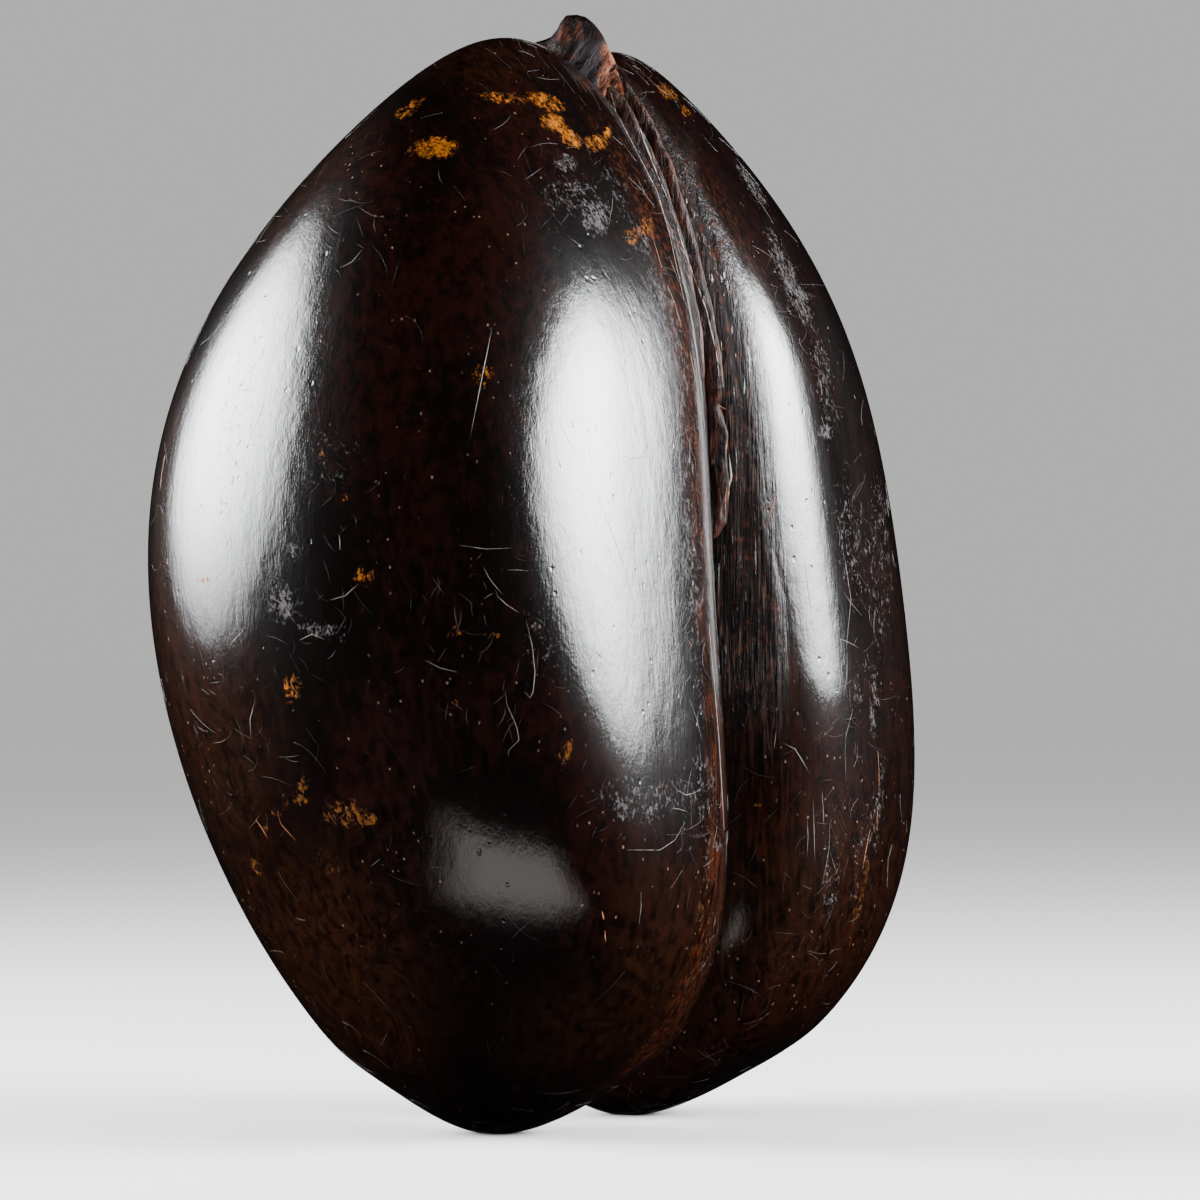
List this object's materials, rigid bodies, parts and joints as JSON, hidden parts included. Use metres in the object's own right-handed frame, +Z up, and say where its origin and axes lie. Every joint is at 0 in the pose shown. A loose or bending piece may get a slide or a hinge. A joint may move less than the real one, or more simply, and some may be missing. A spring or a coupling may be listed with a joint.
{
  "type": "coco de mer nut",
  "caption": "Polished, dark, bilobed palm nut standing on the free ends of its joined lobes, with a deep cleft, an open suture and a pointed knob.",
  "frame": {"origin": "on the surface the nut stands on, under the middle of its bounding box", "axes": "+Z up, from the free ends of the lobes to the crown; X across the two lobes; -Y the side with the open suture"},
  "size_m": [0.2788, 0.1572, 0.3191],
  "materials": {
    "polished_shell": "polished"
  },
  "bodies": {
    "root": {"nut": "polished_shell"}
  },
  "joints": []
}
